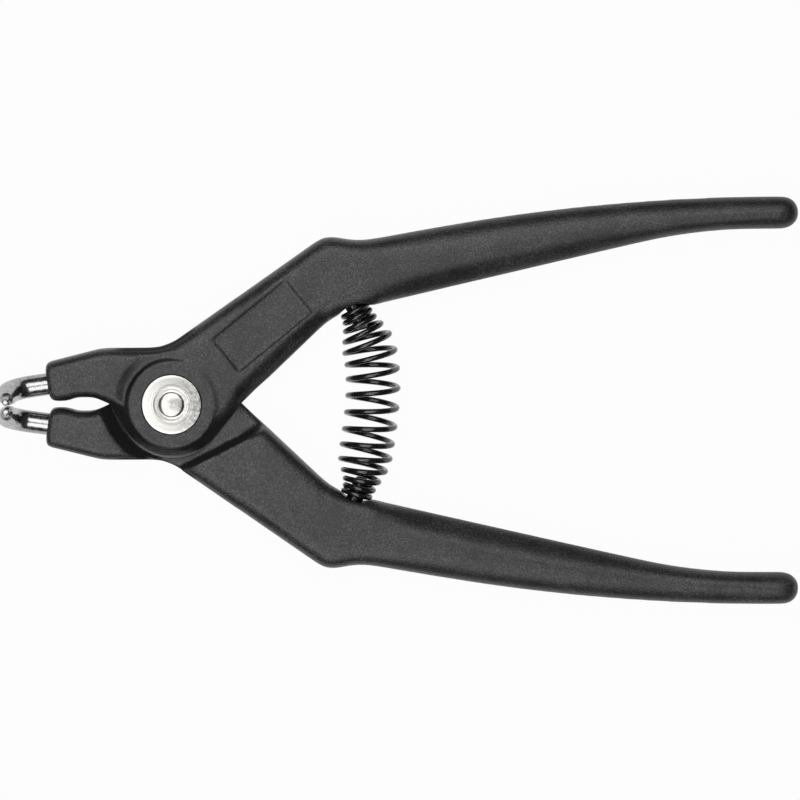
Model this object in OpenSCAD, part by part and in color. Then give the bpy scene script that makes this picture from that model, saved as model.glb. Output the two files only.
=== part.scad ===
// Circlip pliers for external retaining rings, with tips bent at a right angle.
// Two forged levers lap at a riveted joint. A barrel spring on two pegs pushes the
// grips apart and so closes the tips; squeezing the grips opens them.
// The origin is on the pivot axis, at the flat underside of the rivet. +X runs to the
// grips, +Y to the upper lever and +Z to the side that the tips point to.

/* [Forging] */
// Thickness of the levers at the jaws, the joint and the arms
lever_t = 10.4; // [9.6:0.2:13]
// Thickness of the grips near their ends
grip_end_t = 7.8; // [6.6:0.2:9.4]
// Draft of the forged side walls, in degrees from the parting line
forging_draft = 3; // [0:0.5:6]
// Rounding of the jaws' edges
jaw_edge = 2.2; // [1:0.1:3]
// Rounding of the arms' edges
arm_edge = 3.2; // [1.5:0.1:4]

/* [Jaws] */
// Pivot axis to the jaws' end faces
jaw_reach = 31; // [28:0.2:38]
// Centre line to the jaws' outer edge at the end face
jaw_nose_h = 10.4; // [9.5:0.1:12]
// Centre line to the jaws' outer edge beside the joint
jaw_root_h = 14; // [13:0.1:16]
// Gap between the closed jaws
jaw_gap = 1.5; // [1:0.1:3]
// Length of the lens-shaped relief between the jaws
relief_l = 8; // [6:0.2:10]
// Depth of the relief in each jaw
relief_depth = 0.9; // [0.4:0.1:1.5]

/* [Arms] */
// Outer corner of the elbow, from the pivot axis
elbow = [38.3, 41.9]; // [30:0.1:50]
// Where the arm's outer edge leaves the jaw's, along the centre line
neck_x = -1.7; // [-4:0.1:1]
// Inner corner of the bend from arm to grip, before rounding
bend = [40.7, 22.15]; // [15:0.05:50]
// Pivot axis to the line of the arm's inner edge
arm_inner_offset = 12; // [11.5:0.1:13]
// Fillet of the neck between jaw and arm
neck_round = 14; // [8:1:18]
// Fillet of the elbow's outer corner
elbow_round = 5; // [3:0.5:8]
// Fillet of the bend on the inner side
bend_round = 18; // [12:1:24]

/* [Grips] */
// Pivot axis to the ends of the grips
grip_reach = 156.4; // [145:0.2:175]
// Centre line to the middle of the grip's end
grip_end_h = 46.9; // [44:0.1:50]
// Width of the grip's end
grip_end_w = 8.4; // [7:0.1:10]
// Lowest point of the dip behind the elbow, before rounding
grip_dip = [46.6, 40.25]; // [35:0.05:55]
// Crown of the grip's outer curve, before rounding
grip_crown = [112.4, 52.1]; // [40:0.1:125]
// Foot of the grip's inner curve, before rounding
grip_foot = [131.4, 42.8]; // [35:0.1:140]

/* [Joint] */
// Diameter of the boss around the rivet
boss_d = 22.5; // [20:0.1:24]
// Height of the boss over the lever's face
boss_proud = 0.3; // [0.1:0.1:0.6]
// Diameter of the lever's eye at the lap face
eye_d = 27.2; // [26:0.1:28.4]
// Height of the eye's rim over the lap face
eye_rim_t = 2.6; // [2:0.1:3.5]
// Gap between the two lap faces
lap_play = 0.1; // [0.05:0.05:0.3]
// Gap between an eye and the recess in the other lever
lap_clearance = 0.5; // [0.3:0.1:1.2]
// Slope of the recess wall in the jaw, in degrees from upright
recess_slope = 26; // [10:1:30]
// Pivot axis to the foot of the arm's shoulder at the recess
shoulder_offset = 15; // [14.6:0.1:16]
// Angle of the arm's shoulder at the recess to the centre line
shoulder_angle = 27; // [25:0.5:30]
// Slope of the arm's shoulder, in degrees from upright
shoulder_slope = 12; // [4:1:16]

/* [Rivet] */
// Diameter of the rivet's shank
rivet_d = 8; // [6.5:0.1:9]
// Radial running clearance of the shank in the lower lever
rivet_play = 0.05; // [0.02:0.01:0.1]
// Diameter of the rivet's head and of the collar
head_d = 14.8; // [12.5:0.1:16]
// Thickness of the head
head_t = 3.2; // [2.8:0.1:3.8]
// Thickness of the collar
collar_t = 2.4; // [1.8:0.1:3]
// Radial gap around the head and the collar in their seats
head_gap = 0.15; // [0.1:0.05:0.3]
// Height of the head over the boss, on the underside
head_proud = 1.4; // [1:0.1:2]
// Height of the riveted button over the boss
button_proud = 0.7; // [0.5:0.1:1]
// Height of the collar over the boss
collar_proud = 0.4; // [0.2:0.1:0.5]
// Diameter of the riveted button in the collar
button_d = 6.1; // [5:0.1:6.3]

/* [Tips] */
// Diameter of the tips' stock
tip_d = 5.5; // [4.6:0.1:5.8]
// Depth of the press fit in the jaw
tip_seat = 12; // [8:0.5:14]
// Centre line to the tip's axis at the jaw's end face
tip_h = 5; // [4.8:0.1:5.6]
// Angle of the tips' axes towards the centre line
tip_converge = 8; // [5:0.5:9]
// Straight length between jaw and bend
tip_straight = 4.4; // [3:0.1:8]
// Radius of the bend at the tip's axis
tip_bend = 5.4; // [3.5:0.1:6]
// Length of the upright leg, from the plane of the levers to its end
tip_rise = 15.5; // [14:0.1:20]
// Diameter of the pins that enter the ring's eyes
pin_d = 1.8; // [1.4:0.1:2.3]
// Length of the pins
pin_l = 3.6; // [2.5:0.1:4]
// Gap between the ends of the closed pins
pin_gap = 0.6; // [0.4:0.05:1.5]

/* [Spring] */
// Diameter of the wire
wire_d = 1.4; // [1:0.05:1.6]
// Outer diameter at the middle of the barrel
spring_d = 13.8; // [11:0.1:14]
// Clearance between the end coils and the pegs
spring_play = 0.4; // [0.2:0.05:0.6]
// Number of turns
spring_turns = 16; // [12:1:18]
// Share of the length over which each end narrows
spring_taper = 0.22; // [0.15:0.01:0.35]
// Sideways wave of the free spring: out at the upper half, in at the lower
spring_wave = 0.6; // [0:0.1:0.8]
// Sideways shift of the spring's middle towards the rivet
spring_shift = 0.4; // [0:0.1:0.6]

/* [Spring pegs] */
// Diameter of the pegs
peg_d = 4.2; // [3:0.1:5]
// Pivot axis to the pegs, along the centre line
peg_x = 45.6; // [44:0.1:52]
// Lean of the pegs from the square direction, in degrees
peg_lean = 22.5; // [16:0.5:25]
// Depth of the press fit in the lever
peg_seat = 6; // [4:0.5:8]
// Length of peg that stands out
peg_out = 5; // [3.5:0.5:7]
// Depth of the round seat in the lever for the spring's end
spring_seat = 1.2; // [0.6:0.1:1.8]

/* [Marking field] */
// Length of the blank field sunk into the upper arm
field_l = 23.6; // [15:0.2:26]
// Width of the field
field_w = 10.6; // [8:0.2:12]
// Depth of the field
field_depth = 0.3; // [0.1:0.05:0.5]
// Middle of the field, from the pivot axis
field_at = [22.6, 19.4]; // [15:0.1:28]
// Angle of the field to the centre line
field_angle = 39; // [34:0.5:44]

/* [Hidden] */
$fn = 96;

forged_black = "#2b2c2e";
spring_black = "#161617";
bright_steel = "#d8d8d4";
tip_steel = "#b9babd";

half_t = lever_t / 2;
face_z = half_t + boss_proud;
rest_z = face_z + head_proud;
lap_z = lap_play / 2;
boss_r = boss_d / 2;
eye_r = eye_d / 2;
recess_r = eye_r + lap_clearance;
head_r = head_d / 2;
rivet_r = rivet_d / 2;
button_r = button_d / 2;
tip_r = tip_d / 2;
wire_r = wire_d / 2;
peg_r = peg_d / 2;

// Cuts run past the solid that they open by this much.
overcut = 1;
edge_break = 0.4;

// Points on a path of [x, y, fillet radius] corners; the first and the last stay sharp.

function unit(v) = v / norm(v);
function turned(v, a) = [v.x * cos(a) - v.y * sin(a), v.x * sin(a) + v.y * cos(a)];
function flat(p) = [p.x, p.y];

function fillet(before, at, after, r, steps) =
    let (
        u = unit(before - at),
        w = unit(after - at),
        half = acos(u * w) / 2,
        centre = at + unit(u + w) * r / sin(half),
        start = at + u * r / tan(half) - centre,
        sweep = (180 - 2 * half) * sign(cross(w, u))
    )
    [for (i = [0:steps]) centre + turned(start, sweep * i / steps)];

function rounded(path, steps = 8) = [
    path[0],
    for (i = [1:len(path) - 2])
        each fillet(flat(path[i - 1]), flat(path[i]), flat(path[i + 1]), path[i].z, steps),
    path[len(path) - 1]
];

// Plan of one lever: an outer and an inner edge from the jaw's end to the grip's end.

tip_axis = [cos(tip_converge), sin(tip_converge)];
jaw_end = [-jaw_reach, tip_h];
nose_round = 0.9;
shoulder_x = -17.4;
shoulder_round = 10;
dip_round = 20;
crown_round = 480;
foot_round = 125;
end_round = grip_end_w / 2 - 0.05;
hidden_round = 4;

arm_angle = atan2(bend.y, bend.x) + asin(arm_inner_offset / norm(bend));
arm_dir = [cos(arm_angle), sin(arm_angle)];
arm_foot = arm_inner_offset * [arm_dir.y, -arm_dir.x];
grip_end = [grip_reach, grip_end_h];
end_step = [0, grip_end_w / 2];
relief_end = -eye_r - lap_clearance - 3.7;
relief_start = relief_end - relief_l;
relief_ramp = relief_l / 5;
inner_h = jaw_gap / 2;
relief_h = inner_h + relief_depth;

function corner(p, r) = [p.x, p.y, r];
function on_face(h) = jaw_end + (h - tip_h) / tip_axis.x * [-tip_axis.y, tip_axis.x];

outer_edge = rounded([
    on_face(tip_h),
    corner(on_face(jaw_nose_h), nose_round),
    [shoulder_x, jaw_root_h, shoulder_round],
    [neck_x, jaw_root_h, neck_round],
    corner(elbow, elbow_round),
    corner(grip_dip, dip_round),
    corner(grip_crown, crown_round),
    corner(grip_end + end_step, end_round),
    grip_end
]);
inner_edge = rounded([
    on_face(tip_h),
    corner(on_face(inner_h), nose_round),
    [relief_start, inner_h, 2],
    [relief_start + relief_ramp, relief_h, 3],
    [relief_end - relief_ramp, relief_h, 3],
    corner(arm_foot - 2 * arm_dir, hidden_round),
    corner(bend, bend_round),
    corner(grip_foot, foot_round),
    corner(grip_end - end_step, end_round),
    grip_end
]);

// The spine that the sections of a lever stand across, and its stations.

spine_path = [
    jaw_end,
    corner(jaw_end + 15 * tip_axis, 25),
    [5, 3.5, 30],
    corner((elbow + bend) / 2, 25),
    [100, (grip_crown.y + grip_foot.y) / 2 - 5.2, 300],
    grip_end
];
spine = rounded(spine_path, 12);

function run(path, i = 0, sum = 0) =
    i == len(path) - 1 ? [sum] : concat(sum, run(path, i + 1, sum + norm(path[i + 1] - path[i])));

spine_run = run([for (p = spine) flat(p)]);
spine_l = spine_run[len(spine_run) - 1];

function span_at(s) = max([for (i = [0:len(spine_run) - 2]) if (spine_run[i] <= s || i == 0) i]);
function spine_at(s) =
    let (i = span_at(s), t = (s - spine_run[i]) / (spine_run[i + 1] - spine_run[i]))
    flat(spine[i]) * (1 - t) + flat(spine[i + 1]) * t;
function spine_dir(s) = unit(spine_at(min(s + 1, spine_l)) - spine_at(max(s - 1, 0)));

// Distance from a point to an edge along a direction.
function reach(p, d, edge) = min([
    for (i = [0:len(edge) - 2])
        let (a = flat(edge[i]), e = flat(edge[i + 1]) - a, across = cross(d, e))
            if (abs(across) > 1e-9)
                let (t = cross(a - p, e) / across, u = cross(a - p, d) / across)
                    if (t > 0 && u >= 0 && u <= 1) t
]);

// Sections: a rounded bar with a parting line at mid height.

corner_steps = 4;
jaw_zone = 30;
elbow_zone = 86;
grip_zone = 112;
cap_l = grip_end_w / 2;
cap_steps = 7;

function ease(a, b, x) = let (t = min(max((x - a) / (b - a), 0), 1)) t * t * (3 - 2 * t);
function blend(a, b, t) = a + (b - a) * t;

function half_height(s) =
    blend(half_t, grip_end_t / 2, ease(elbow_zone - 16, spine_l - cap_l, s))
    * sqrt(max(1 - pow(max(s - spine_l + cap_l, 0) / cap_l, 2), 0));
function edge_width(s) = blend(blend(jaw_edge, arm_edge, ease(10, jaw_zone, s)), 6, ease(elbow_zone - 6, grip_zone, s));
function edge_height(s) = blend(blend(jaw_edge, arm_edge, ease(10, jaw_zone, s)), 3.9, ease(elbow_zone - 6, grip_zone, s));

function bar_corner(w, h, ew, eh) = [
    for (i = [0:corner_steps])
        let (a = 90 * i / corner_steps) [w - ew + ew * cos(a), h - eh + eh * sin(a)]
];

function bar(left, right, h, ew, eh) =
    let (
        lean = (h - eh) * tan(forging_draft),
        lw = min(ew, 0.9 * (left - lean)),
        rw = min(ew, 0.9 * (right - lean)),
        l = bar_corner(left - lean, h, lw, eh),
        r = bar_corner(right - lean, h, rw, eh),
        n = corner_steps
    )
    [
        [left, 0],
        for (i = [0:n]) l[i],
        for (i = [n:-1:0]) [-r[i].x, r[i].y],
        [-right, 0],
        for (i = [0:n]) [-r[i].x, -r[i].y],
        for (i = [n:-1:0]) [l[i].x, -l[i].y]
    ];

function section(s, inset = 0) =
    let (
        p = spine_at(s),
        d = spine_dir(s),
        across = [-d.y, d.x],
        h = half_height(s) - inset,
        left = reach(p, across, outer_edge) - inset,
        right = reach(p, -across, inner_edge) - inset,
        ring = bar(left, right, h, edge_width(s), min(edge_height(s), 0.92 * h))
    )
    [for (q = ring) [p.x + across.x * q.x, p.y + across.y * q.x, q.y]];

nose_insets = [[0.02, 0.8], [0.25, 0.3], [0.8, 0]];
stations = [
    for (s = [2:1.6:30]) s,
    for (s = [32:2.4:60]) s,
    for (s = [62:1.6:90]) s,
    for (s = [93:4.5:spine_l - cap_l - 2]) s,
    for (i = [0:cap_steps]) spine_l - cap_l * (1 - sin(88 * i / cap_steps))
];

module blank() {
    rings = concat(
        [for (n = nose_insets) section(n[0], n[1])],
        [for (s = stations) section(s)]
    );
    n = len(rings[0]);
    last = len(rings) - 1;
    polyhedron(
        points = [for (ring = rings) each ring],
        faces = [
            [for (j = [0:n - 1]) j],
            for (i = [0:last - 1], j = [0:n - 1])
                let (k = (j + 1) % n) [i * n + j, (i + 1) * n + j, (i + 1) * n + k, i * n + k],
            [for (j = [n - 1:-1:0]) last * n + j]
        ],
        convexity = 6
    );
}

// The joint of one lever: an eye with a boss above the lap face, a recess below it.
// Round the eye, its rim stands clear of the boss on the outer side. Towards the jaw and
// towards the crotch of the arms it turns into a flank that slopes down from the boss.

crotch_r = arm_inner_offset / arm_dir.y;
root_r = -relief_end - 2.2;
foot_t = eye_rim_t / 3;
eye_steps = 60;

// Radius of a circle that is drawn out to a point at the angle a = 0.
function drawn_out(r, point_r, a) =
    let (touch = acos(min(r / point_r, 1))) abs(a) < touch ? r / cos(abs(a) - touch) : r;

function eye_reach(a) = max(drawn_out(eye_r, crotch_r, a > 180 ? a - 360 : a), drawn_out(eye_r, root_r, a - 180));

function eye_profile(a) =
    let (
        rim_w = eye_r - boss_r,
        cove = 0.5 * rim_w,
        rim_z = lap_z + eye_rim_t,
        rim_round = 0.35 * rim_w,
        out = eye_reach(a),
        k = ease(200, 236, a) * (1 - ease(284, 320, a)),
        top = half_t - edge_break,
        rim = [
            [boss_r, rim_z + cove], [boss_r + 0.3 * cove, rim_z + 0.3 * cove], [boss_r + cove, rim_z],
            [eye_r - rim_round, rim_z], [eye_r, rim_z - rim_round]
        ],
        flank = [for (t = [0, 0.3, 0.6, 0.85, 1]) [blend(boss_r, out, t), blend(top, foot_t, t)]]
    )
    [
        [boss_r - edge_break, face_z], [boss_r, face_z - edge_break],
        for (i = [0:4]) blend(flank[i], rim[i], k),
        [out, -overcut]
    ];

module eye() {
    rings = [
        for (i = [0:eye_steps - 1])
            let (a = 360 * i / eye_steps) [for (q = eye_profile(a)) [q.x * cos(a), q.x * sin(a), q.y]]
    ];
    n = len(rings[0]);
    top = n * eye_steps;
    polyhedron(
        points = concat([for (ring = rings) each ring], [[0, 0, face_z], [0, 0, -overcut]]),
        faces = [
            for (i = [0:eye_steps - 1])
                let (k = (i + 1) % eye_steps)
                each concat(
                    [[top, k * n, i * n], [top + 1, i * n + n - 1, k * n + n - 1]],
                    [for (j = [0:n - 2]) [i * n + j, k * n + j, k * n + j + 1, i * n + j + 1]]
                )
        ],
        convexity = 4
    );
}

recess_depth = half_t + overcut;

// Straight wall at the edge of the recess, square to the given direction.
module recess_wall(direction, foot, slope, from, to) {
    back = foot - 1.5 * recess_r;
    rotate([90, 0, direction])
        translate([0, 0, from])
            linear_extrude(to - from)
                polygon([
                    [foot, lap_z], [foot + recess_depth * tan(slope), lap_z - recess_depth],
                    [back, lap_z - recess_depth], [back, lap_z]
                ]);
}

module lap_recess() {
    root_direction = 152;
    ledge = 0.1;
    spread = recess_depth * tan(recess_slope);
    translate([0, 0, lap_z - recess_depth])
        cylinder(h = recess_depth, r = recess_r - ledge);
    intersection() {
        translate([0, 0, lap_z - recess_depth])
            cylinder(h = recess_depth, r1 = recess_r + spread, r2 = recess_r);
        translate([-2 * recess_r, 0, lap_z - 2 * recess_depth])
            cube([1.9 * recess_r, 2 * recess_r, 3 * recess_depth]);
    }
    recess_wall(root_direction, recess_r + ledge, recess_slope, -recess_r, ledge);
    recess_wall(90 - shoulder_angle, shoulder_offset, shoulder_slope, -0.65 * recess_r, 3 * recess_r);
}

// Sunk ring that sets the boss off from the jaw and runs out towards the arm.
module boss_groove() {
    tilt = 5.5;
    floor_w = 0.6;
    ramp_w = 2.4;
    ramp_h = 0.9;
    rotate([0, 0, 140])
        translate([0, 0, face_z])
            rotate([0, tilt, 0])
                rotate_extrude()
                    polygon([
                        [boss_r, 0], [boss_r + floor_w, 0], [boss_r + floor_w + ramp_w, ramp_h],
                        [boss_r + floor_w + ramp_w, 2], [boss_r, 2]
                    ]);
}

module tip_socket() {
    translate([jaw_end.x, jaw_end.y, 0])
        rotate([0, 90, tip_converge])
            translate([0, 0, -overcut])
                cylinder(h = tip_seat + overcut, r = tip_r);
}

peg_base = [peg_x, reach([peg_x, 0], [0, 1], inner_edge)];

module at_peg() {
    translate([peg_base.x, peg_base.y, 0])
        rotate([90, 0, peg_lean])
            children();
}

module peg_hole() {
    at_peg() {
        translate([0, 0, -peg_seat])
            cylinder(h = peg_seat + overcut, r = peg_r);
        translate([0, 0, -spring_seat])
            cylinder(h = spring_seat + 3 * overcut, r = end_coil_r + wire_r + 0.35);
    }
}

module marking_field() {
    translate([field_at.x, field_at.y, half_t - field_depth])
        rotate([0, 0, field_angle])
            translate([-field_l / 2, -field_w / 2, 0])
                cube([field_l, field_w, field_depth + overcut]);
}

module lever(bore_r, seat_r, seat_z) {
    difference() {
        union() {
            blank();
            eye();
        }
        lap_recess();
        boss_groove();
        translate([0, 0, -overcut])
            cylinder(h = face_z + 2 * overcut, r = bore_r);
        translate([0, 0, seat_z])
            cylinder(h = face_z, r = seat_r);
        tip_socket();
        peg_hole();
        children();
    }
}

collar_seat_z = face_z + collar_proud - collar_t;
head_seat_z = rest_z - head_t - lap_play / 2;

module upper_lever() {
    color(forged_black)
        lever(rivet_r, head_r + head_gap, collar_seat_z)
            marking_field();
}

module lower_lever() {
    color(forged_black)
        rotate([180, 0, 0])
            lever(rivet_r + rivet_play, head_r + head_gap, head_seat_z);
}

// Rivet: a head below, a shank through both levers and a button closed over the collar.

module pivot_rivet() {
    top = face_z + button_proud;
    dome = 0.9;
    color(bright_steel)
        rotate_extrude()
            polygon([
                [0, -rest_z], [head_r - edge_break, -rest_z], [head_r, -rest_z + edge_break],
                [head_r, -rest_z + head_t], [rivet_r, -rest_z + head_t], [rivet_r, collar_seat_z],
                [button_r, collar_seat_z], [button_r, top - dome],
                for (a = [15:15:75]) [button_r * cos(a), top - dome + dome * sin(a)],
                [0, top]
            ]);
}

module rivet_collar() {
    top = face_z + collar_proud;
    dish = 0.15;
    sink_r = button_r + 1.7;
    sink = 0.2;
    step_r = button_r + 0.6;
    color(bright_steel)
        rotate_extrude()
            polygon([
                [button_r, collar_seat_z], [head_r, collar_seat_z], [head_r, top - dish - edge_break],
                [head_r - edge_break, top - dish], [sink_r, top], [step_r, top - sink],
                [button_r, top - sink]
            ]);
}

// Tips: round stock, bent at a right angle and turned down to a pin.

bend_end = jaw_end - (tip_straight + tip_bend) * tip_axis;
tip_lean = asin((bend_end.y - pin_d / 2 - pin_gap / 2) / (tip_rise + pin_d / 2 * tan(tip_converge)));

module tip() {
    leg_l = tip_rise - tip_bend;
    neck_r = pin_d / 2 + 0.7;
    shoulder_l = 1.2;
    color(tip_steel)
        translate([jaw_end.x, jaw_end.y, 0])
            rotate([0, 0, tip_converge])
                rotate([tip_lean, 0, 0]) {
                    translate([-tip_straight, 0, 0])
                        rotate([0, 90, 0])
                            cylinder(h = tip_straight + tip_seat, r = tip_r);
                    translate([-tip_straight, 0, tip_bend])
                        rotate([90, 0, 0])
                            rotate([0, 0, 180])
                                rotate_extrude(angle = 90)
                                    translate([tip_bend, 0])
                                        circle(r = tip_r);
                    translate([-tip_straight - tip_bend, 0, tip_bend])
                        rotate_extrude()
                            polygon([
                                [0, 0], [tip_r, 0],
                                [neck_r, leg_l - pin_l - shoulder_l], [pin_d / 2, leg_l - pin_l],
                                [pin_d / 2, leg_l - edge_break], [pin_d / 2 - edge_break, leg_l], [0, leg_l]
                            ]);
                }
}

module upper_tip() tip();
module lower_tip() mirror([0, 1, 0]) tip();

// Pegs that hold the ends of the spring.

module spring_peg() {
    nose = 1.2;
    color(spring_black)
        at_peg()
            rotate_extrude()
                polygon([
                    [0, -peg_seat], [peg_r, -peg_seat], [peg_r, peg_out - nose],
                    [peg_r - nose / 2, peg_out - nose / 3], [peg_r - nose, peg_out], [0, peg_out]
                ]);
}

module upper_spring_peg() spring_peg();
module lower_spring_peg() rotate([180, 0, 0]) spring_peg();

// Spring: a barrel helix along an arc that leaves both pegs in line with them.

coil_steps = 16;
wire_sides = 8;
end_gap = 0.2;
coil_start = wire_r + end_gap - spring_seat;
first_turn = 295;
arc_r = peg_base.y / sin(peg_lean);
arc_centre = peg_base - arc_r * [cos(peg_lean), sin(peg_lean)];
spring_l = 2 * arc_r * peg_lean * PI / 180 - 2 * coil_start;
end_coil_r = peg_r + spring_play + wire_r;
mid_coil_r = spring_d / 2 - wire_r;
end_pitch = wire_d * 1.03;
mid_pitch = 2 * spring_l / spring_turns - end_pitch;

function spring_s(u) =
    spring_turns * (end_pitch * u + (mid_pitch - end_pitch) * (u / 2 - sin(360 * u) / (4 * PI)));
function coil_r(u) =
    let (s = spring_s(u) / spring_l)
    blend(end_coil_r, mid_coil_r, ease(0.02, spring_taper, min(s, 1 - s)));
function sway(s) =
    spring_wave * sin(360 * s) * ease(0, 0.25, min(s, 1 - s)) - spring_shift * sin(180 * s) ^ 2;
function coil_at(u) =
    let (
        s = spring_s(u) / spring_l,
        lean = peg_lean - (spring_s(u) + coil_start) / arc_r * 180 / PI,
        tilt = atan((sway(s + 0.01) - sway(s - 0.01)) / (0.02 * spring_l)),
        a = first_turn + 360 * spring_turns * u,
        middle = arc_centre + (arc_r + sway(s)) * [cos(lean), sin(lean)],
        p = middle + coil_r(u) * cos(a) * [cos(lean + tilt), sin(lean + tilt)]
    )
    [p.x, p.y, coil_r(u) * sin(a)];

module return_spring() {
    n = round(spring_turns * coil_steps);
    line = [for (i = [0:n]) coil_at(i / n)];
    color(spring_black)
        tube(line, wire_r, wire_sides);
}

// A round bar along a line of points, each ring square to the line.
module tube(line, r, sides) {
    last = len(line) - 1;
    rings = [
        for (i = [0:last])
            let (
                along = unit(line[min(i + 1, last)] - line[max(i - 1, 0)]),
                side = unit(cross(along, [0.0123, 1, 0])),
                up = cross(side, along)
            )
            [for (j = [0:sides - 1]) let (a = 360 * j / sides) line[i] + r * (side * cos(a) + up * sin(a))]
    ];
    polyhedron(
        points = [for (ring = rings) each ring],
        faces = [
            [for (j = [0:sides - 1]) j],
            for (i = [0:last - 1], j = [0:sides - 1])
                let (k = (j + 1) % sides)
                [i * sides + j, (i + 1) * sides + j, (i + 1) * sides + k, i * sides + k],
            [for (j = [sides - 1:-1:0]) last * sides + j]
        ],
        convexity = 20
    );
}

// Stands the pliers on the rivet's underside.
module placed() {
    translate([0, 0, rest_z])
        children();
}

placed() upper_lever();
placed() lower_lever();
placed() pivot_rivet();
placed() rivet_collar();
placed() upper_tip();
placed() lower_tip();
placed() upper_spring_peg();
placed() lower_spring_peg();
placed() return_spring();
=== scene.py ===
# %% [markdown]
# # Circlip pliers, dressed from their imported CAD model
# The pliers have two drop-forged levers with a matt black phosphate coat, a bright turned
# rivet, two polished tips bent at a right angle and a blackened barrel spring. The packed
# model gives every size and place; this lesson gives the surfaces that the tools left on them.
# Sizes are written in millimetres, and MM turns them into Blender's metres.

# %% Load the frame
import math

import bmesh
import bpy
from mathutils import Matrix, Vector


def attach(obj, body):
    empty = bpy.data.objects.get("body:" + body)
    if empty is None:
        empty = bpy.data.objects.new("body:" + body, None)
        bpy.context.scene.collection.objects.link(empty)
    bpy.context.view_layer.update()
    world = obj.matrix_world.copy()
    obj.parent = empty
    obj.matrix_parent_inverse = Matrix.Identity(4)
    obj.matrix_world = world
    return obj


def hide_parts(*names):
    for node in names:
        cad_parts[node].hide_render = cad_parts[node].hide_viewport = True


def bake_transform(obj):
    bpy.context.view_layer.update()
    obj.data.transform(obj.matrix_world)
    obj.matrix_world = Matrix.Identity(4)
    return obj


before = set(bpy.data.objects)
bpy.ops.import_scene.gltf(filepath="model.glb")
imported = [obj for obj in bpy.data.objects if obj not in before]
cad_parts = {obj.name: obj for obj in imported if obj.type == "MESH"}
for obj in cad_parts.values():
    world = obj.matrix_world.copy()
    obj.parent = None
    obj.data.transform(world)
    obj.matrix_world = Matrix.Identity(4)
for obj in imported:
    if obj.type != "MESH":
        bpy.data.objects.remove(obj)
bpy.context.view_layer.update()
scene = bpy.context.scene
scene.view_settings.view_transform = "Standard"
MM = 0.001

# %% [markdown]
# ## Camera
# The photograph looks almost straight down, from far away: the tips hardly splay. One pixel is
# a quarter of a millimetre on the plane of the levers. The lens is worked out from that and
# from the distance, so the frame fits without any shift. The tool lies a little askew in the
# picture, which is a small roll, and the ends of the tips sit a little low, which is a small tilt.
# REST is the height of the levers' middle plane.

# %% Place the camera
PICTURE_PIXELS = 800
PIXEL = 0.2495 * MM
REST = 6.9
LEVER_PLANE = REST * MM
camera_distance = 1.1
camera_tilt = math.radians(3.0)
camera_roll = math.radians(0.27)
aim = Vector((57.0 * MM, 0.6 * MM, LEVER_PLANE))

camera_data = bpy.data.cameras.new("overhead_camera")
camera_data.sensor_width = 36.0
camera_data.lens = camera_data.sensor_width * camera_distance / (PICTURE_PIXELS * PIXEL)
camera = bpy.data.objects.new("overhead_camera", camera_data)
camera.rotation_euler = (-camera_tilt, 0.0, -camera_roll)
camera.location = aim + camera_distance * Vector((0.0, math.sin(camera_tilt), math.cos(camera_tilt)))
scene.collection.objects.link(camera)
scene.camera = camera
print("lens in mm:", round(camera_data.lens, 1))

# %% [markdown]
# ## Small helpers
# Colours are written as sRGB hex values, as a colour picker shows them, and Cycles works with
# linear light, so one function converts them. Another adds a shader node, sets its options and
# fills its sockets with numbers or with links from other nodes.


# %% Colour and node helpers
def linear(hex_colour):
    channels = [int(hex_colour[i:i + 2], 16) / 255 for i in (1, 3, 5)]
    lit = [c / 12.92 if c <= 0.04045 else ((c + 0.055) / 1.055) ** 2.4 for c in channels]
    return (*lit, 1.0)


def grey(value):
    return (value, value, value, 1.0)


def add(tree, kind, inputs=None, **settings):
    made = tree.nodes.new(kind)
    for name, value in settings.items():
        setattr(made, name, value)
    for socket, value in (inputs or {}).items():
        if isinstance(value, bpy.types.NodeSocket):
            tree.links.new(value, made.inputs[socket])
        else:
            made.inputs[socket].default_value = value
    return made


def stops(ramp, *pairs):
    elements = ramp.color_ramp.elements
    while len(elements) < len(pairs):
        elements.new(0.5)
    for element, (place, colour) in zip(elements, pairs):
        element.position = place
        element.color = colour
    return ramp


def new_material(name):
    material = bpy.data.materials.new(name)
    material.use_nodes = True
    tree = material.node_tree
    return material, tree, tree.nodes["Principled BSDF"]


print("helpers ready; mid grey is", [round(c, 3) for c in linear("#808080")[:3]])

# %% [markdown]
# ## Floor and light
# The photograph has a white ground and soft light from above. The floor is pale paper. Rays from
# the camera and from mirrors see it as almost white, with a trace of the real paper left in, so
# that the shadow stays. The light is two broad panels, one on each side of the camera with a narrow
# gap between them, and a small panel on the left. Faces that lie flat send that light back, edges
# that turn away go dark, and the gap keeps the bright collar from burning out.

# %% Lay the floor
FLOOR_SIZE = 3.0
FLOOR_GAP = 0.05 * MM
WHITE_SHARE = 0.97
bpy.ops.mesh.primitive_plane_add(size=FLOOR_SIZE, location=(aim.x, aim.y, -FLOOR_GAP))
floor = bpy.context.object
floor.name = "paper_floor"

paper, tree, shader = new_material("pale_paper_sweep")
shader.inputs["Base Color"].default_value = linear("#bdbdbb")
shader.inputs["Roughness"].default_value = 0.9
path = add(tree, "ShaderNodeLightPath")
mirrored = add(
    tree, "ShaderNodeMath", {0: path.outputs["Is Glossy Ray"], 1: path.outputs["Is Transmission Ray"]},
    operation="MAXIMUM",
)
seen = add(
    tree, "ShaderNodeMath", {0: path.outputs["Is Camera Ray"], 1: mirrored.outputs[0]},
    operation="MAXIMUM",
)
share = add(tree, "ShaderNodeMath", {0: seen.outputs[0], 1: WHITE_SHARE}, operation="MULTIPLY")
white = add(tree, "ShaderNodeEmission", {"Color": grey(1.0), "Strength": 1.0})
sheet = add(
    tree, "ShaderNodeMixShader", {0: share.outputs[0], 1: shader.outputs[0], 2: white.outputs[0]},
)
tree.links.new(sheet.outputs[0], tree.nodes["Material Output"].inputs["Surface"])
floor.data.materials.append(paper)
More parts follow.
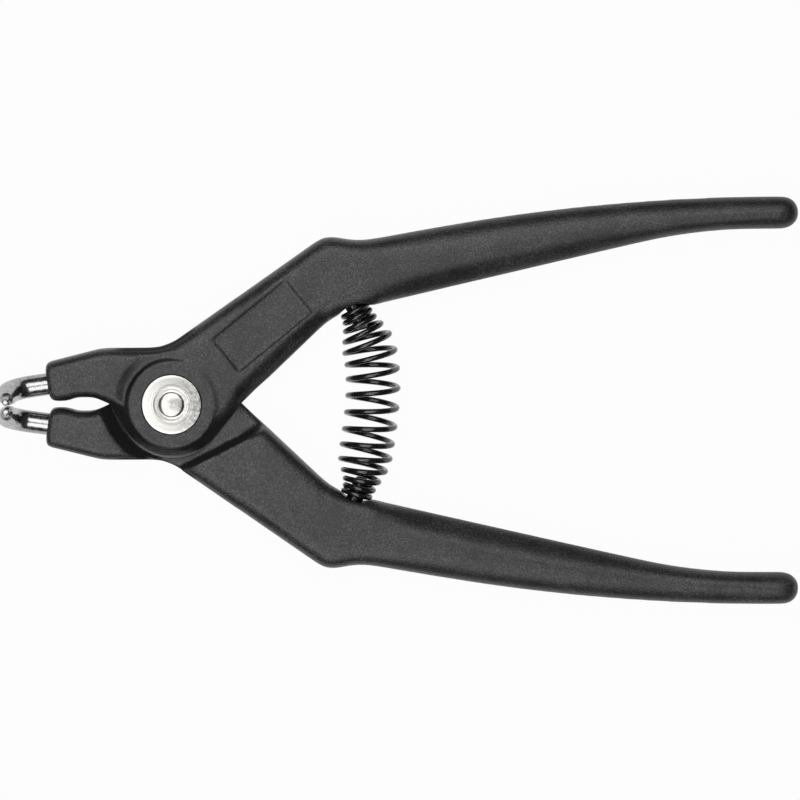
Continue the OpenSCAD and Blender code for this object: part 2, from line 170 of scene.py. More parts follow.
print("floor laid", FLOOR_GAP / MM, "mm under the rivet")

# %% Hang the lamps
LAMP_HEIGHT = 1.36


def softbox(name, place, size, power):
    lamp = bpy.data.lights.new(name, "AREA")
    lamp.shape = "RECTANGLE"
    lamp.size, lamp.size_y = size
    lamp.energy = power
    stand = bpy.data.objects.new(name, lamp)
    stand.location = (*place, LAMP_HEIGHT)
    stand.rotation_euler = (stand.location - aim).to_track_quat("Z", "Y").to_euler()
    scene.collection.objects.link(stand)


softbox("key_panel_far", (-0.06, 0.53), (1.2, 0.84), 9.1)
softbox("key_panel_near", (-0.18, -0.65), (1.0, 0.96), 8.7)
softbox("side_panel_left", (-0.52, 0.0), (0.5, 0.4), 0.3)

world = bpy.data.worlds.new("dim_studio")
world.use_nodes = True
world.node_tree.nodes["Background"].inputs["Color"].default_value = grey(1.0)
world.node_tree.nodes["Background"].inputs["Strength"].default_value = 0.05
scene.world = world

# %% [markdown]
# ## Phosphated forging
# The levers are drop-forged steel, blasted and phosphated. Phosphate grows as fine crystals, so
# the coat is matt, charcoal black and finely speckled, and oil makes it a little uneven. The
# crystals are far below a pixel, so the speckle is drawn as grains of about a third of a millimetre.

# %% Grow the crystals
GRAIN = 0.36 * MM
CLOUD = 12.0 * MM
phosphate, tree, shader = new_material("phosphated_drop_forging")
place = add(tree, "ShaderNodeTexCoord")
grain = add(
    tree, "ShaderNodeTexNoise", {"Vector": place.outputs["Object"], "Scale": 1 / GRAIN, "Detail": 2.0},
)
cloud = add(
    tree, "ShaderNodeTexNoise",
    {"Vector": place.outputs["Object"], "Scale": 1 / CLOUD, "Detail": 4.0, "Roughness": 0.68},
)
speckle = stops(
    add(tree, "ShaderNodeValToRGB", {"Fac": grain.outputs["Fac"]}),
    (0.34, linear("#111111")), (0.5, linear("#242424")), (0.68, linear("#4c4c4b")),
)
tone = stops(
    add(tree, "ShaderNodeValToRGB", {"Fac": cloud.outputs["Fac"]}),
    (0.32, grey(0.4)), (0.68, grey(1.5)),
)
coat = add(
    tree, "ShaderNodeMix", {"Factor": 1.0, 6: speckle.outputs["Color"], 7: tone.outputs["Color"]},
    data_type="RGBA", blend_type="MULTIPLY",
)
dull = add(
    tree, "ShaderNodeMapRange",
    {"Value": grain.outputs["Fac"], "From Min": 0.3, "From Max": 0.7, "To Min": 0.46, "To Max": 0.34},
)
crystals = add(
    tree, "ShaderNodeBump", {"Height": grain.outputs["Fac"], "Strength": 0.9, "Distance": 0.08 * MM},
)
print("grains per mm:", round(MM / GRAIN, 1))

# %% [markdown]
# Two marks lie over the coat, and both are painted light. The first is painted shade: the steep walls
# of the joint are darkened to near black, as if in shadow, while its floors keep the coat. So the shade
# is drawn on steep faces only. A ramp over the distance from the rivet's axis says how much lies there,
# and the same mask makes those faces rougher.

# %% Paint shade into the joint
WALL_SHADE_SPAN = 25
WALL_SHADE_BY_RADIUS = ((9, 0.0), (11, 0.9), (18, 0.9), (22, 0.0))
apart = add(tree, "ShaderNodeSeparateXYZ", {"Vector": place.outputs["Object"]})
flat = add(
    tree, "ShaderNodeCombineXYZ", {"X": apart.outputs["X"], "Y": apart.outputs["Y"], "Z": 0.0},
)
radius = add(tree, "ShaderNodeVectorMath", {0: flat.outputs["Vector"]}, operation="LENGTH")
outward = add(
    tree, "ShaderNodeMath", {0: radius.outputs["Value"], 1: WALL_SHADE_SPAN * MM}, operation="DIVIDE",
)
around_rivet = stops(
    add(tree, "ShaderNodeValToRGB", {"Fac": outward.outputs[0]}),
    *[(mm / WALL_SHADE_SPAN, grey(amount)) for mm, amount in WALL_SHADE_BY_RADIUS],
)
surface = add(tree, "ShaderNodeNewGeometry")
facing = add(tree, "ShaderNodeSeparateXYZ", {"Vector": surface.outputs["Normal"]})
level = add(tree, "ShaderNodeMath", {0: facing.outputs["Z"]}, operation="ABSOLUTE")
steep = add(
    tree, "ShaderNodeMapRange",
    {"Value": level.outputs[0], "From Min": 0.45, "From Max": 0.9, "To Min": 1.0, "To Max": 0.0},
)
# painted shade: steep walls near the rivet are mixed towards near black, as if in shadow
painted_wall_shade = add(
    tree, "ShaderNodeMath", {0: steep.outputs["Result"], 1: around_rivet.outputs["Color"]},
    operation="MULTIPLY",
)
wall_shaded = add(
    tree, "ShaderNodeMix", {"Factor": painted_wall_shade.outputs[0], 6: coat.outputs[2], 7: linear("#070707")},
    data_type="RGBA",
)
matt = add(
    tree, "ShaderNodeMath", {0: dull.outputs["Result"], 1: painted_wall_shade.outputs[0]}, operation="MAXIMUM",
)
print("oil lies between", WALL_SHADE_BY_RADIUS[0][0], "and", WALL_SHADE_BY_RADIUS[-1][0], "mm from the axis")

# %% [markdown]
# The second mark is a painted highlight. The sharp edge of the free rim of each eye, on the side away
# from its own arm, is painted pale grey, as if it caught the light. Pointiness finds the edge and a ring
# finds the rim. The free side is where y times the height over the levers' plane is below zero. That
# holds for both levers, because one is the other turned over.

# %% Paint a highlight on the free rims
EYE_RIM = 13.7 * MM
RIM_FULL, RIM_NONE = 0.6 * MM, 1.3 * MM
FREE_FULL, FREE_NONE = -12 * MM * MM, -4 * MM * MM
off_rim = add(
    tree, "ShaderNodeMath", {0: radius.outputs["Value"], 1: EYE_RIM}, operation="SUBTRACT",
)
rim_gap = add(tree, "ShaderNodeMath", {0: off_rim.outputs[0]}, operation="ABSOLUTE")
ring = add(
    tree, "ShaderNodeMapRange",
    {"Value": rim_gap.outputs[0], "From Min": RIM_FULL, "From Max": RIM_NONE, "To Min": 1.0, "To Max": 0.0},
)
rise = add(tree, "ShaderNodeMath", {0: apart.outputs["Z"], 1: LEVER_PLANE}, operation="SUBTRACT")
side = add(tree, "ShaderNodeMath", {0: apart.outputs["Y"], 1: rise.outputs[0]}, operation="MULTIPLY")
free = add(
    tree, "ShaderNodeMapRange",
    {"Value": side.outputs[0], "From Min": FREE_FULL, "From Max": FREE_NONE, "To Min": 1.0, "To Max": 0.0},
)
sharp = add(
    tree, "ShaderNodeMapRange",
    {"Value": surface.outputs["Pointiness"], "From Min": 0.508, "From Max": 0.528},
)
free_rim = add(
    tree, "ShaderNodeMath", {0: ring.outputs["Result"], 1: free.outputs["Result"]}, operation="MULTIPLY",
)
painted_rim_highlight = add(
    tree, "ShaderNodeMath", {0: free_rim.outputs[0], 1: sharp.outputs["Result"]}, operation="MULTIPLY",
)
# painted highlight: the free rim's sharp edge is mixed towards pale grey
rim_highlighted = add(
    tree, "ShaderNodeMix", {"Factor": painted_rim_highlight.outputs[0], 6: wall_shaded.outputs[2], 7: linear("#a8a8a5")},
    data_type="RGBA",
)
tree.links.new(rim_highlighted.outputs[2], shader.inputs["Base Color"])
tree.links.new(matt.outputs[0], shader.inputs["Roughness"])
tree.links.new(crystals.outputs["Normal"], shader.inputs["Normal"])
shader.inputs["Specular IOR Level"].default_value = 0.6
print(phosphate.name, "has", len(tree.nodes), "nodes")

# %% [markdown]
# ## Levers
# The CAD lever has the right form with clean machine edges. A real forging comes out of a worn
# die, so its edges are soft. A fine even skin of voxels is drawn over a copy of the CAD mesh and
# then relaxed in rounds, which softens every edge and keeps flat faces flat. The joint, the spring's
# seat and the sunken field were cut or pressed later and stay crisp, so they get only the first few
# rounds. The jaws get some more and the arms and grips get the most.

# %% Say which places stay crisp
VOXEL = 0.4 * MM
CRISP_ROUNDS, JAW_ROUNDS, ARM_ROUNDS = 5, 15, 45
JAW_LIMIT = 16
JOINT_REACH = 16.5
SPRING_SEAT, SEAT_REACH = Vector((45.6, 23.3)), 6.5
FIELD_AT, FIELD_ANGLE = Vector((22.6, 19.4)), math.radians(39.0)
FIELD_HALF, FIELD_MARGIN = Vector((11.8, 5.3)), 1.0


def from_line(place, foot, angle):
    offset = place - foot
    along = offset.x * math.cos(angle) + offset.y * math.sin(angle)
    aside = offset.y * math.cos(angle) - offset.x * math.sin(angle)
    return along, aside


def in_field(place, margin):
    along, aside = from_line(place, FIELD_AT, FIELD_ANGLE)
    return abs(along) < FIELD_HALF.x + margin and abs(aside) < FIELD_HALF.y + margin


def rounds_at(place):
    in_joint = place.length < JOINT_REACH
    in_seat = (place - SPRING_SEAT).length < SEAT_REACH
    if in_joint or in_seat or in_field(place, FIELD_MARGIN):
        return CRISP_ROUNDS
    return JAW_ROUNDS if place.x < JAW_LIMIT else ARM_ROUNDS


print("rounds on a jaw and on a grip:", rounds_at(Vector((-25, 6))), rounds_at(Vector((80, 35))))

# %% [markdown]
# The photograph shows one more thing: the inner edges fall away in broad slopes, the draft that lets
# the forging leave its die. The first lies between joint and elbow, on the face that the upper lever
# shows. The lower lever is turned over, so it has this slope underneath. A line along the edge gives
# the slope's place, and smooth steps fade it in and out along that line, across it and in height.

# %% Slope the arms
DRAFT_FOOT, DRAFT_ANGLE = Vector((17.7, 0.9)), math.radians(43.3)
DRAFT_DEPTH, DRAFT_WIDTH = 1.3, 4.2
DRAFT_IN, DRAFT_OUT, DRAFT_HEIGHT = (-4, 4), (22, 34), (1.0, 4.5)


def smooth_step(a, b, x):
    t = min(max((x - a) / (b - a), 0.0), 1.0)
    return t * t * (3 - 2 * t)


def draft_drop(local):
    along, inside = from_line(local.xy, DRAFT_FOOT, DRAFT_ANGLE)
    reach = smooth_step(*DRAFT_IN, along) * (1 - smooth_step(*DRAFT_OUT, along))
    across = 1 - smooth_step(0, DRAFT_WIDTH, inside)
    return DRAFT_DEPTH * reach * across * smooth_step(*DRAFT_HEIGHT, local.z)


print("slope on the arms: up to", DRAFT_DEPTH, "mm deep")

# %% [markdown]
# The second slope runs along the inner third of each grip, on both faces. It starts from the grip's
# own edge, which is read from the skin in thin slices at even steps. It presses the points towards
# the levers' plane, each by a share of its height, so that none cross.

# %% Slope the grips
STEP, SLICE_HALF = 5, 0.5
GRIP_START, GRIP_STEPS = 45, 22
GRIP_IN = (48, 61)
SLOPE_SHARE, SLOPE_SOFT, SLOPE = 0.33, 1.8, math.tan(math.radians(21.0))
HALF_THICK = 4.6


def grip_edges(points):
    edges = [(math.inf, -math.inf)] * GRIP_STEPS
    for x, y, _ in points:
        k = round((x - GRIP_START) / STEP)
        if 0 <= k < GRIP_STEPS and abs(x - GRIP_START - k * STEP) < SLICE_HALF:
            edges[k] = (min(edges[k][0], y), max(edges[k][1], y))
    return edges


def grip_squash(local, edges):
    steps = (local.x - GRIP_START) / STEP
    if steps < 0:
        return 0.0
    k = min(int(steps), GRIP_STEPS - 2)
    part = min(steps - k, 1.0)
    inner, outer = [a + part * (b - a) for a, b in zip(edges[k], edges[k + 1])]
    depth = SLOPE_SHARE * (outer - inner) - (local.y - inner)
    blend = max(depth + SLOPE_SOFT, 0.0)
    fall = blend * blend / (4 * SLOPE_SOFT) if blend < 2 * SLOPE_SOFT else depth
    return smooth_step(*GRIP_IN, local.x) * SLOPE * fall / HALF_THICK


print("slope on the grips:", round(math.degrees(math.atan(SLOPE))), "degrees")

# %% [markdown]
# Each lever is then worked in its own frame: the lower one is turned over by the sign `hand`, so one
# set of numbers fits both. First the CAD copy is welded and skinned, and the skin is relaxed. The
# points that want more rounds than are done go on, the others stop.

# %% Skin and relax
WELD = 0.001 * MM


def even_skin(node_name):
    piece = bpy.data.objects.new(node_name + "_forging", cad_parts[node_name].data.copy())
    scene.collection.objects.link(piece)
    weld = piece.modifiers.new("weld", "WELD")
    weld.merge_threshold = WELD
    skin = piece.modifiers.new("even_skin", "REMESH")
    skin.mode = "VOXEL"
    skin.voxel_size = VOXEL
    skinned = piece.evaluated_get(bpy.context.evaluated_depsgraph_get())
    made = bpy.data.meshes.new_from_object(skinned)
    piece.modifiers.clear()
    piece.data = made
    return piece


def relax(bm, hand):
    rounds = [rounds_at(Vector((v.co.x, hand * v.co.y)) / MM) for v in bm.verts]
    levels = (0, CRISP_ROUNDS, JAW_ROUNDS, ARM_ROUNDS)
    for done, target in zip(levels, levels[1:]):
        moved = [v for v, wanted in zip(bm.verts, rounds) if wanted > done]
        for _ in range(target - done):
            bmesh.ops.smooth_vert(
                bm, verts=moved, factor=0.5, use_axis_x=True, use_axis_y=True, use_axis_z=True,
            )


print("voxels per mm:", MM / VOXEL)

# %% [markdown]
# Then the slopes are pressed in. Only the upper lever has the sunken field and the collar's seat. The
# seat was bored after forging, so the skin is set level up to its rim, which closes the gap round the
# collar.

# %% Press the slopes, the field and the rim
FIELD_SINK, FACE_LOW = 0.16, 4.0
BOSS_RISE = 5.5
RIM_REACH, RIM_LOW = 8.8, 4.75


def press(bm, hand):
    points = [Vector((v.co.x, hand * v.co.y, hand * (v.co.z - LEVER_PLANE))) / MM for v in bm.verts]
    edges = grip_edges(points)
    for v, local in zip(bm.verts, points):
        drop = draft_drop(local) + local.z * grip_squash(local, edges)
        if hand > 0 and local.z > FACE_LOW and in_field(local.xy, 0.0):
            drop += FIELD_SINK
        if hand > 0 and local.z > RIM_LOW and local.xy.length < RIM_REACH:
            drop = local.z - BOSS_RISE
        v.co.z -= hand * drop * MM


print("field sunk by a further", FIELD_SINK, "mm")

# %% [markdown]
# The finished skin replaces its CAD node in the picture and rides on the same body.


# %% Forge both levers
def soft_forging(node_name, body, hand):
    piece = even_skin(node_name)
    bm = bmesh.new()
    bm.from_mesh(piece.data)
    relax(bm, hand)
    press(bm, hand)
    bm.to_mesh(piece.data)
    bm.free()
    piece.data.shade_smooth()
    piece.data.materials.clear()
    piece.data.materials.append(phosphate)
    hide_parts(node_name)
    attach(piece, body)
    print(piece.name, len(piece.data.polygons), "faces")


soft_forging("upper_lever", "upper", 1)
soft_forging("lower_lever", "lower", -1)

# %% [markdown]
# ## Turned steel
# The rivet and its collar were faced on a lathe. The tool leaves fine rings round the axis, which
# stretch each highlight into a streak across them. The rings are drawn about a third of a
# millimetre apart, coarser than the real feed, so that they show.

# %% Make the turned finish
HEAD = 7.4
FEED = 0.34 * MM
turned, tree, shader = new_material("bright_turned_steel")
place = add(tree, "ShaderNodeTexCoord")
apart = add(tree, "ShaderNodeSeparateXYZ", {"Vector": place.outputs["Object"]})
flat = add(
    tree, "ShaderNodeCombineXYZ", {"X": apart.outputs["X"], "Y": apart.outputs["Y"], "Z": 0.0},
)
radius = add(tree, "ShaderNodeVectorMath", {0: flat.outputs["Vector"]}, operation="LENGTH")
rings = add(
    tree, "ShaderNodeTexNoise", {"W": radius.outputs["Value"], "Scale": 1 / FEED, "Detail": 3.0},
    noise_dimensions="1D",
)
shade = stops(
    add(tree, "ShaderNodeValToRGB", {"Fac": rings.outputs["Fac"]}),
    (0.3, linear("#bfbeba")), (0.7, linear("#cccbc7")),
)
gloss = add(
    tree, "ShaderNodeMapRange",
    {"Value": rings.outputs["Fac"], "From Min": 0.3, "From Max": 0.7, "To Min": 0.27, "To Max": 0.34},
)
cuts = add(
    tree, "ShaderNodeBump", {"Height": rings.outputs["Fac"], "Strength": 0.08, "Distance": 0.02 * MM},
)
around = add(tree, "ShaderNodeTangent", direction_type="RADIAL", axis="Z")
tree.links.new(gloss.outputs["Result"], shader.inputs["Roughness"])
tree.links.new(cuts.outputs["Normal"], shader.inputs["Normal"])
tree.links.new(around.outputs["Tangent"], shader.inputs["Tangent"])
shader.inputs["Metallic"].default_value = 1.0
shader.inputs["Anisotropic"].default_value = 0.5
print("rings on the collar:", round(HEAD * MM / FEED))

# %% [markdown]
# On the side towards the arms the steel is painted darker grey with fine specks: painted shade, which
# stands in for the darker reflection on that side.

# %% Paint shade on one side
SPECK = 0.9 * MM
SIDE_SHADE_NONE, SIDE_SHADE_FULL = 0.3 * MM, 6.6 * MM
specks = add(
    tree, "ShaderNodeTexNoise", {"Vector": place.outputs["Object"], "Scale": 1 / SPECK, "Detail": 4.0},
)
speck = add(
    tree, "ShaderNodeMapRange", {"Value": specks.outputs["Fac"], "From Min": 0.4, "From Max": 0.62},
)
towards = add(
    tree, "ShaderNodeMapRange",
    {"Value": apart.outputs["X"], "From Min": SIDE_SHADE_NONE, "From Max": SIDE_SHADE_FULL, "To Max": 0.75},
)
painted_side_shade = add(
    tree, "ShaderNodeMath", {0: speck.outputs["Result"], 1: towards.outputs["Result"]},
    operation="MULTIPLY",
)
# painted shade: the collar's side towards the arms is mixed towards dark grey
side_shaded = add(
    tree, "ShaderNodeMix", {"Factor": painted_side_shade.outputs[0], 6: shade.outputs["Color"], 7: linear("#6f6e6b")},
    data_type="RGBA",
)
tree.links.new(side_shaded.outputs[2], shader.inputs["Base Color"])
print(turned.name, "has", len(tree.nodes), "nodes")

# %% [markdown]
# ## Rivet and collar
# Both are lathe work, so their shape is a profile spun round an axis. The profile repeats the CAD
# sizes and adds what a lathe hand adds: broken edges, fine steps on the collar's face and a rolled
# dome on the button. The rings of points are joined by quads, and the points that meet on the axis
# are merged.

# %% Spin profiles
MERGE = 0.0005 * MM


def ring_faces(rings, sides):
    faces = []
    for i in range(rings - 1):
        near, far = i * sides, (i + 1) * sides
        for k in range(sides):
            n = (k + 1) % sides
            faces.append((near + k, near + n, far + n, far + k))
    return faces


def new_piece(name, points, faces):
    mesh = bpy.data.meshes.new(name)
    mesh.from_pydata(points, [], faces)
    mesh.shade_smooth()
    piece = bpy.data.objects.new(name, mesh)
    scene.collection.objects.link(piece)
    return piece


def lathe(name, profile, segments=128):
    turns = [2 * math.pi * k / segments for k in range(segments)]
    points = [(r * MM * math.cos(t), r * MM * math.sin(t), z * MM) for r, z in profile for t in turns]
    piece = new_piece(name, points, ring_faces(len(profile), segments))
    bm = bmesh.new()
    bm.from_mesh(piece.data)
    bmesh.ops.remove_doubles(bm, verts=bm.verts, dist=MERGE)
    bmesh.ops.recalc_face_normals(bm, faces=bm.faces)
    bm.to_mesh(piece.data)
    bm.free()
    return piece


def arc(centre_r, centre_z, radius, start, end, steps=6):
    turns = [math.radians(start + (end - start) * i / steps) for i in range(steps + 1)]
    return [(centre_r + radius * math.cos(t), centre_z + radius * math.sin(t)) for t in turns]


print("profiles can be spun")

# %% Turn the rivet
COLLAR_PROUD, COLLAR_THICK = 0.4, 2.4
BOSS = REST + BOSS_RISE
COLLAR_TOP = BOSS + COLLAR_PROUD
SEAT = COLLAR_TOP - COLLAR_THICK
BUTTON, BUTTON_RISE = 3.05, 0.7
BUTTON_EDGE, BUTTON_EDGE_DIP = 0.3, 0.48
BUTTON_FACE = ((2.3, 0.14), (1.6, 0.06), (0.8, 0.015), (0.0, 0.0))
SHANK = 4.0
HEAD_THICK, HEAD_EDGE, EDGE_BREAK = 3.2, 0.45, 0.05

button_top = BOSS + BUTTON_RISE
head = [(0.0, 0.0), (HEAD - HEAD_EDGE, 0.0)] + arc(HEAD - HEAD_EDGE, HEAD_EDGE, HEAD_EDGE, -90, 0)
head += [(HEAD, HEAD_THICK - EDGE_BREAK), (HEAD - EDGE_BREAK, HEAD_THICK)]
shank = [(SHANK, HEAD_THICK), (SHANK, SEAT), (BUTTON, SEAT)]
dome = [(BUTTON, BOSS)]
dome += arc(BUTTON - BUTTON_EDGE, button_top - BUTTON_EDGE_DIP, BUTTON_EDGE, 0, 60)
dome += [(r, button_top - dip) for r, dip in BUTTON_FACE]
rivet = lathe("riveted_pivot", head + shank + dome)
rivet.data.materials.append(turned)
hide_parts("pivot_rivet")
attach(rivet, "upper")
print("rivet spun, its button ends at", round(button_top, 2), "mm")

# %% Turn the collar
COLLAR_EDGE, COLLAR_RIM, BORE_GAP = 0.18, 0.3, 0.02
COLLAR_FACE = (
    (6.5, 0.1), (5.6, 0.04), (4.7, 0.0), (4.5, 0.0), (4.45, 0.01), (4.4, 0.05), (4.36, 0.06),
    (3.8, 0.07), (3.22, 0.08), (3.16, 0.1), (BUTTON + BORE_GAP, 0.2),
)

wall = [(BUTTON, SEAT), (HEAD, SEAT), (HEAD, COLLAR_TOP - COLLAR_RIM)]
edge = arc(HEAD - COLLAR_EDGE, COLLAR_TOP - COLLAR_RIM, COLLAR_EDGE, 0, 85)
face = [(r, COLLAR_TOP - dip) for r, dip in COLLAR_FACE]
collar = lathe("turned_collar", wall + edge + face + [(BUTTON + BORE_GAP, SEAT)])
collar.data.materials.append(turned)
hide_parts("rivet_collar")
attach(collar, "upper")

# %% [markdown]
# ## Blackened wire
# Spring wire is drawn through a die, coiled and blackened in hot oil. It is smoother than the
# forging, so it shows clear pale streaks along its crown. The oil bakes on a little unevenly, in
# patches of about a millimetre, which break the streaks. The pegs have the same black.

# %% Make the wire finish
PATCH = 1.1 * MM
blackened, tree, shader = new_material("oil_blackened_spring_wire")
place = add(tree, "ShaderNodeTexCoord")
patches = add(
    tree, "ShaderNodeTexNoise", {"Vector": place.outputs["Object"], "Scale": 1 / PATCH, "Detail": 4.0},
)
film = stops(
    add(tree, "ShaderNodeValToRGB", {"Fac": patches.outputs["Fac"]}),
    (0.35, linear("#0b0b0b")), (0.7, linear("#1e1e1d")),
)
slick = add(
    tree, "ShaderNodeMapRange",
    {"Value": patches.outputs["Fac"], "From Min": 0.3, "From Max": 0.7, "To Min": 0.14, "To Max": 0.22},
)
unevenness = add(
    tree, "ShaderNodeBump", {"Height": patches.outputs["Fac"], "Strength": 0.1, "Distance": 0.03 * MM},
)
tree.links.new(film.outputs["Color"], shader.inputs["Base Color"])
tree.links.new(slick.outputs["Result"], shader.inputs["Roughness"])
tree.links.new(unevenness.outputs["Normal"], shader.inputs["Normal"])
shader.inputs["Specular IOR Level"].default_value = 0.8
print(blackened.name, "has", len(tree.nodes), "nodes")

# %% [markdown]
# ## Bars that follow a line
# The spring and the tips are both round bars bent along a line. A ring of points is set square to
# the line at each step and joined to the next ring. The ring's own turn is carried along from
# step to step, so the bar never twists.


# %% Sweep round bars
def swept_bar(name, line, radii, sides):
    last = len(line) - 1
    along = [(line[min(i + 1, last)] - line[max(i - 1, 0)]).normalized() for i in range(last + 1)]
    side = along[0].orthogonal().normalized()
    points = []
    for i, centre in enumerate(line):
        side = (side - along[i] * side.dot(along[i])).normalized()
        up = along[i].cross(side)
        for k in range(sides):
            t = 2 * math.pi * k / sides
            points.append(centre + radii[i] * (side * math.cos(t) + up * math.sin(t)))
    faces = ring_faces(len(line), sides)
    faces.append(tuple(range(sides - 1, -1, -1)))
    faces.append(tuple(last * sides + k for k in range(sides)))
    return new_piece(name, points, faces)


print("bars can be swept")

# %% [markdown]
# ## Barrel spring
# The coils close up and narrow at both ends, where they grip the pegs, and open out in the middle.
# The centre line is an arc that leaves each peg in line with it and sways a little, as a slack
# spring does, and the end coils sit in round seats in the levers. The numbers are those of the CAD
# model, apart from end coils a hair wider, so that no light shows beside the seats.

# %% Work out the spring's line
TURNS, STEPS_PER_TURN = 16, 40
WIRE, WIRE_SIDES = 0.7, 14
PEG_LEAN = math.radians(22.5)
PEG_X, PEG_Y = 45.6, 23.27
END_COIL, MID_COIL = 3.35, 6.2
TAPER_FROM, TAPER_TO = 0.02, 0.22
SEAT_DEPTH, END_GAP, END_PITCH = 1.2, 0.2, 1.03 * 2 * WIRE
FIRST_TURN = math.radians(295.0)
WAVE, WAVE_IN, SHIFT = 0.6, 0.25, 0.4
NUDGE = 0.01


def sway(share):
    near_end = min(share, 1 - share)
    wave = WAVE * math.sin(2 * math.pi * share) * smooth_step(0.0, WAVE_IN, near_end)
    return wave - SHIFT * math.sin(math.pi * share) ** 2


def spring_line():
    arc_r = PEG_Y / math.sin(PEG_LEAN)
    centre_x = PEG_X - arc_r * math.cos(PEG_LEAN)
    start = WIRE + END_GAP - SEAT_DEPTH
    length = 2 * arc_r * PEG_LEAN - 2 * start
    mid_pitch = 2 * length / TURNS - END_PITCH
    line = []
    count = TURNS * STEPS_PER_TURN
    for i in range(count + 1):
        u = i / count
        swell = u / 2 - math.sin(2 * math.pi * u) / (4 * math.pi)
        s = TURNS * (END_PITCH * u + (mid_pitch - END_PITCH) * swell)
        share = s / length
        r = END_COIL + (MID_COIL - END_COIL) * smooth_step(TAPER_FROM, TAPER_TO, min(share, 1 - share))
        lean = PEG_LEAN - (s + start) / arc_r
        tilt = lean + math.atan((sway(share + NUDGE) - sway(share - NUDGE)) / (2 * NUDGE * length))
        a = FIRST_TURN + 2 * math.pi * TURNS * u
        bow = arc_r + sway(share)
        x = centre_x + bow * math.cos(lean) + r * math.cos(a) * math.cos(tilt)
        y = bow * math.sin(lean) + r * math.cos(a) * math.sin(tilt)
        line.append(Vector((x, y, REST + r * math.sin(a))) * MM)
    return line


wire = spring_line()
print("wire length in mm:", round(sum((b - a).length for a, b in zip(wire, wire[1:])) / MM))

# %% [markdown]
# The spring spans the joint. It is swept along that line and takes the place of the CAD spring.

# %% Wind the spring
spring = swept_bar("barrel_spring", wire, [WIRE * MM] * len(wire), WIRE_SIDES)
spring.data.materials.append(blackened)
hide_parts("return_spring")
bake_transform(spring)
print("spring wound with", len(spring.data.polygons), "faces")

# %% [markdown]
# ## Polished tip steel
# The tips are hardened bar, ground and polished by hand. Polish leaves a dark mirror, and the hand
# leaves shallow ripples of a little under a millimetre in it.

# %% Make the tip finish
RIPPLE = 0.8 * MM
polished, tree, shader = new_material("polished_hardened_steel")
place = add(tree, "ShaderNodeTexCoord")
ripples = add(
    tree, "ShaderNodeTexNoise", {"Vector": place.outputs["Object"], "Scale": 1 / RIPPLE, "Detail": 4.0},
)
bright = stops(
    add(tree, "ShaderNodeValToRGB", {"Fac": ripples.outputs["Fac"]}),
    (0.3, linear("#8c8c8c")), (0.7, linear("#b8b8b7")),
)
polish = add(
    tree, "ShaderNodeMapRange",
    {"Value": ripples.outputs["Fac"], "From Min": 0.3, "From Max": 0.7, "To Min": 0.18, "To Max": 0.3},
)
hollows = add(
    tree, "ShaderNodeBump", {"Height": ripples.outputs["Fac"], "Strength": 0.15, "Distance": 0.03 * MM},
)
tree.links.new(bright.outputs["Color"], shader.inputs["Base Color"])
tree.links.new(polish.outputs["Result"], shader.inputs["Roughness"])
tree.links.new(hollows.outputs["Normal"], shader.inputs["Normal"])
shader.inputs["Metallic"].default_value = 1.0
print(polished.name, "has", len(tree.nodes), "nodes")

# %% [markdown]
# ## Bent tips
# Each tip is one bar: straight out of the jaw, through a right-angle bend, up a tapered leg to a
# shoulder, and on as a slim pin. One sweep with a radius at every step gives it all. The shoulder is
# ground a little squarer than in the CAD, because it shows as a dark disc round the pin.

# %% Lay out a tip
TIP_R, STRAIGHT, BEND, RISE = 2.75, 4.4, 5.4, 15.5
BAR_PLACES = (11.9, 6.0, 1.0, 0.0, -1.5, -3.0)
BEND_STEPS, LEG_STEPS = 24, 8
PIN_R, PIN_L = 0.9, 3.6
NECK_R, SHOULDER = 1.6, 0.5
SHOULDER_EDGE = ((0.12, 0.04),)
PIN_FOOT = ((-0.05, 0.05), (0.15, 0.0))
PIN_END = ((0.4, 0.0), (0.25, 0.04), (0.08, 0.17), (0.02, 0.3), (0.0, 0.7))


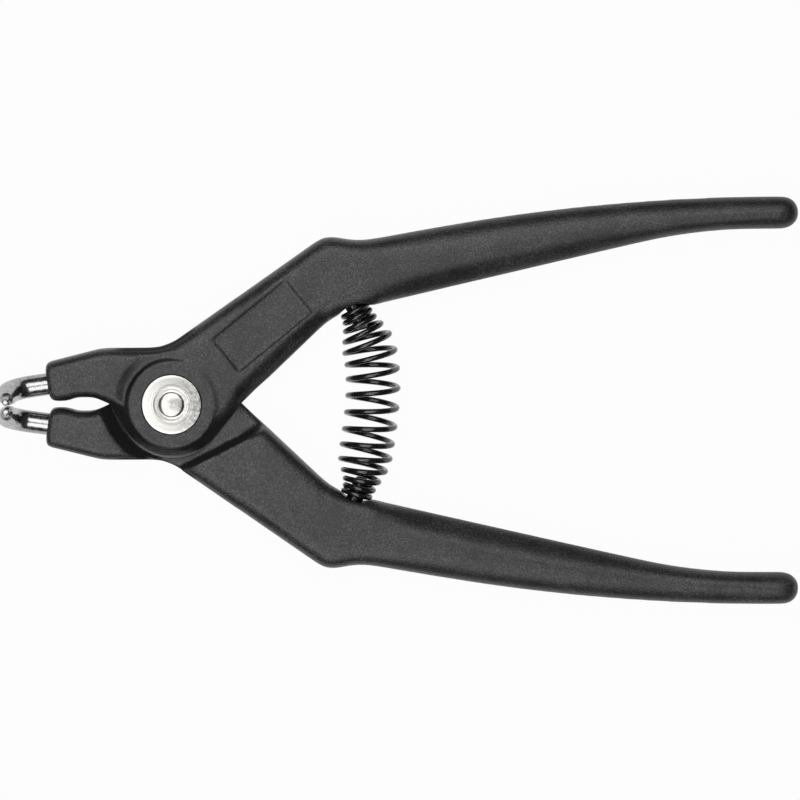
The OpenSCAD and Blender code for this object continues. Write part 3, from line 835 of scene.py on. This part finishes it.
def tip_steps():
    steps = [(x, 0.0, TIP_R) for x in BAR_PLACES]
    for i in range(BEND_STEPS + 1):
        t = math.pi / 2 * i / BEND_STEPS
        steps.append((-STRAIGHT - BEND * math.sin(t), BEND - BEND * math.cos(t), TIP_R))
    foot = -STRAIGHT - BEND
    pin_foot = RISE - PIN_L
    neck = pin_foot - SHOULDER
    for i in range(1, LEG_STEPS + 1):
        t = i / LEG_STEPS
        steps.append((foot, BEND + (neck - BEND) * t, TIP_R + (NECK_R - TIP_R) * t))
    steps += [(foot, neck + above, NECK_R - slimmer) for above, slimmer in SHOULDER_EDGE]
    steps += [(foot, pin_foot + above, PIN_R + thicker) for above, thicker in PIN_FOOT]
    steps += [(foot, RISE - below, PIN_R - slimmer) for below, slimmer in PIN_END]
    return steps


print("a tip has", len(tip_steps()), "steps")

# %% [markdown]
# The bars leave the jaws at a small angle towards each other, and each leg leans by what is left, so
# that the pins' ends stand PIN_GAP apart. The lower tip is the mirror image.

# %% Bend the tips
TIP_SIDES = 48
PIN_GAP = 0.6
CONVERGE = math.radians(8.0)
JAW_END = Vector((-31.0, 5.0, REST))
bend_y = JAW_END.y - (STRAIGHT + BEND) * math.sin(CONVERGE)
LEAN = math.asin((bend_y - PIN_R - PIN_GAP / 2) / (RISE + PIN_R * math.tan(CONVERGE)))


def bent_tip(node_name, body, hand):
    turn = Matrix.Rotation(CONVERGE, 3, "Z") @ Matrix.Rotation(LEAN, 3, "X")
    line, radii = [], []
    for x, z, r in tip_steps():
        p = JAW_END + turn @ Vector((x, 0.0, z))
        line.append(Vector((p.x, hand * p.y, p.z)) * MM)
        radii.append(r * MM)
    piece = swept_bar(node_name + "_bar", line, radii, TIP_SIDES)
    piece.data.materials.append(polished)
    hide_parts(node_name)
    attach(piece, body)


bent_tip("upper_tip", "upper", 1)
bent_tip("lower_tip", "lower", -1)

# %% [markdown]
# ## Spring pegs
# The pegs keep their CAD shape: they hide inside the end coils, and only the black finish shows.

# %% Blacken the pegs
for name in ("upper_spring_peg", "lower_spring_peg"):
    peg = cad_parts[name]
    peg.data.materials.clear()
    peg.data.materials.append(blackened)
    peg.data.shade_smooth()
print("pegs blackened")
